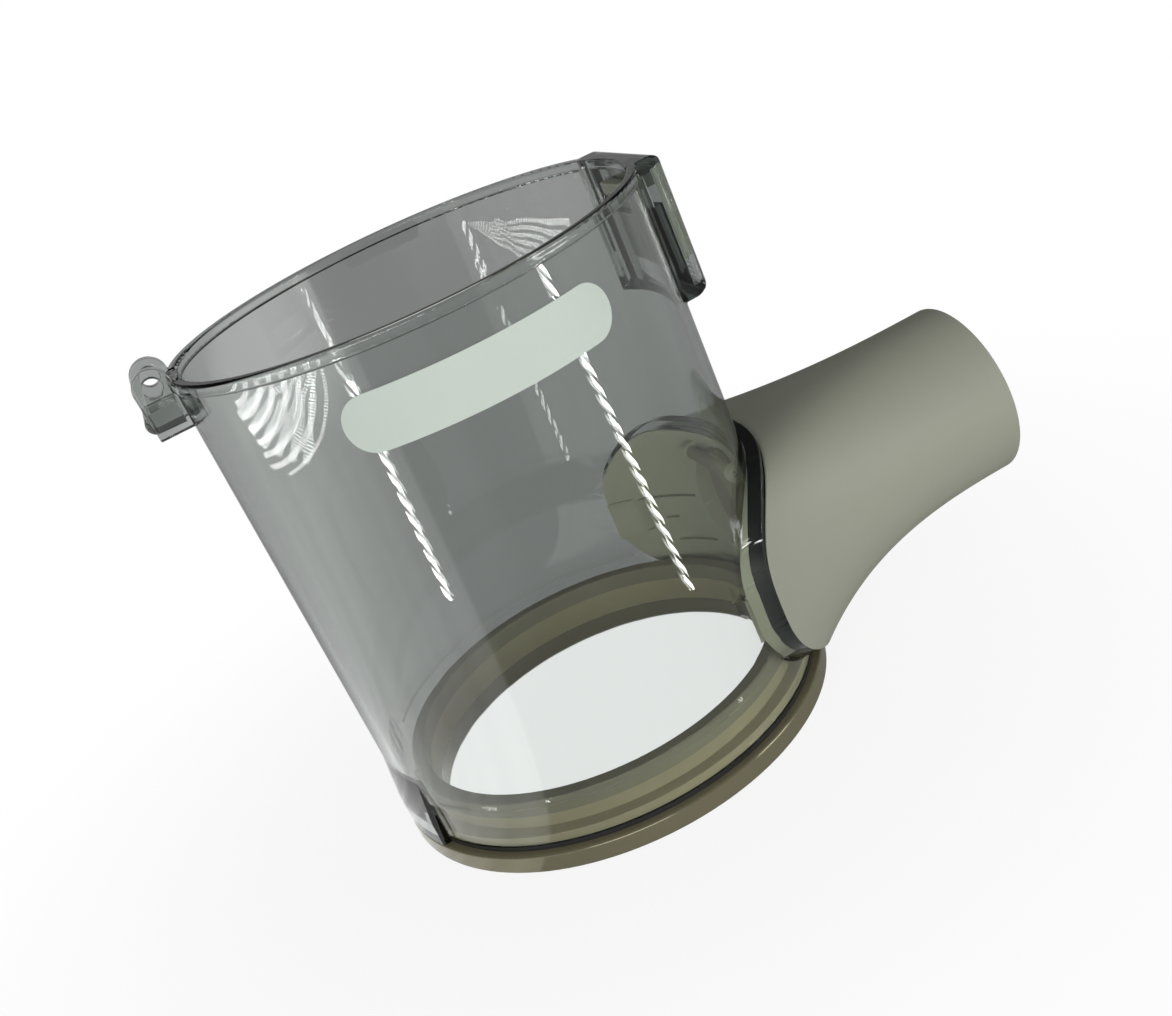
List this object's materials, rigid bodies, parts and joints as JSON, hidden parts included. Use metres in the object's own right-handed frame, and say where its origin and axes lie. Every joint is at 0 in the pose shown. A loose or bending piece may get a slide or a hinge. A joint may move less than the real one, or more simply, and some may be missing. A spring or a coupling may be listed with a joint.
{
  "type": "vacuum dust bin",
  "caption": "Clear smoky dust cup for a stick vacuum, with a painted flared inlet duct, a collar ring at its foot and a sliding lid latch.",
  "frame": {"origin": "centre of the collar's bore at the foot of the collar, where the bin stands", "axes": "+Z along the cup's axis towards its wide mouth, +X along the inlet duct and the latch, -X at the hinge ears"},
  "size_m": [0.1966, 0.12, 0.1401],
  "materials": {
    "clear_smoke": "clear smoky, polished",
    "painted_olive": "metallic olive-gold, glossy",
    "painted_champagne": "fine satin paint",
    "inner_olive": "satin",
    "seal_olive": "soft matte",
    "black_rubber": "matte",
    "steel": "bright drawn wire",
    "label_film": "flat film"
  },
  "bodies": {
    "bin": {"cup_shell": "clear_smoke", "collar_ring": "painted_olive", "collar_seal": "seal_olive", "base_gasket": "black_rubber", "inlet_duct": "painted_champagne", "inlet_liner": "inner_olive", "neck_gasket": "black_rubber", "flap_pin": "steel", "latch_springs": "steel", "front_label": "label_film"},
    "flap": {"inlet_flap": "seal_olive"},
    "slider": {"latch_slider": "painted_champagne"}
  },
  "joints": [
    {"name": "flap_hinge", "type": "hinge", "parent": "bin", "child": "flap", "pos_m": [0.05295, 0, 0.0523], "axis": [0, 1, 0], "range_deg": [0, 75]},
    {"name": "latch_slide", "type": "slide", "parent": "bin", "child": "slider", "axis": [0, 0, -1], "range_m": [0, 0.0045], "stiffness_N_per_m": 400, "springref_m": -0.004, "deforming": ["latch_springs"]}
  ]
}
